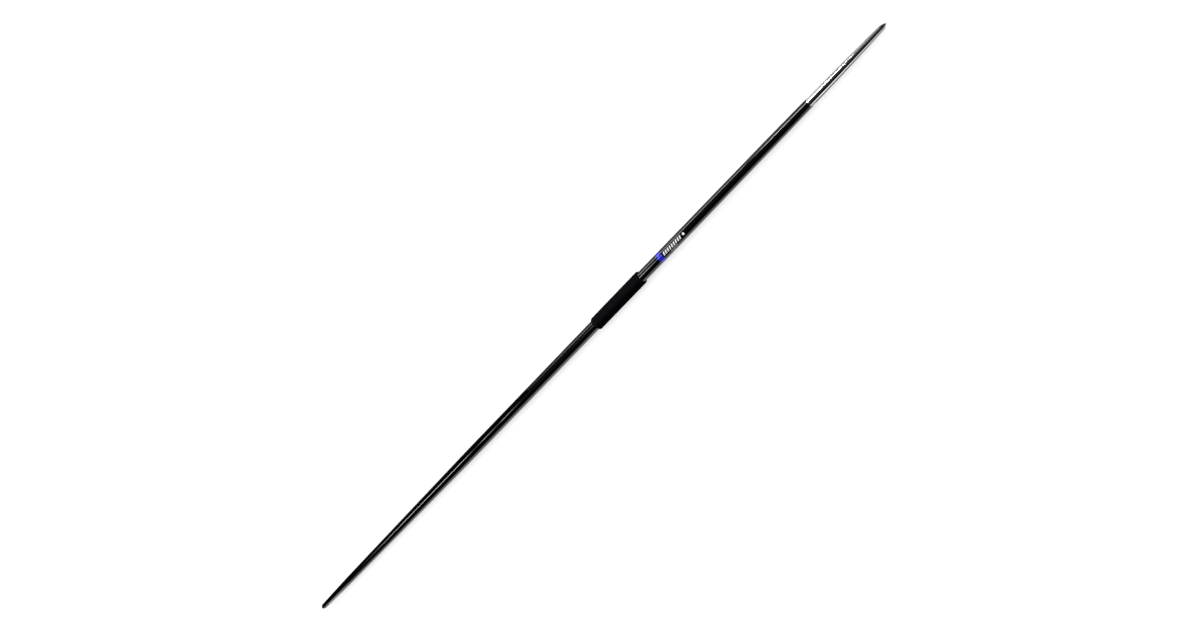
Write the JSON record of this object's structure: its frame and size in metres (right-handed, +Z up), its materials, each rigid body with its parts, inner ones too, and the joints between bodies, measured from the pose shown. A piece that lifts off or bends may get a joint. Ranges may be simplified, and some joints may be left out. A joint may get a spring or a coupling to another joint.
{
  "type": "javelin",
  "caption": "Slim throwing javelin with a pointed metal head, a long gloss-black tubular shaft that tapers to the tail, and a cord-wound grip over its balance point.",
  "frame": {"origin": "on the floor below the middle of the javelin's length, centred across it", "axes": "+X along the shaft to the point, +Y to the left seen from the tail, +Z up; the javelin lies level on the flat under its grip"},
  "size_m": [1.85, 0.029, 0.0287],
  "materials": {
    "hard_steel": "satin",
    "polished_steel": "polished",
    "slug_steel": "satin",
    "black_shaft": "gloss",
    "bare_aluminium": "satin",
    "tail_plastic": "satin",
    "grip_tape": "matte",
    "grip_cord": "matte",
    "band_blue": "gloss",
    "mark_white": "gloss"
  },
  "bodies": {
    "root": {"head_tip": "hard_steel", "head_body": "polished_steel", "balance_slug": "slug_steel", "front_shaft": "black_shaft", "joint_sleeve": "bare_aluminium", "rear_shaft": "black_shaft", "tail_cap": "tail_plastic", "grip_tape": "grip_tape", "grip_cord": "grip_cord"}
  },
  "joints": []
}
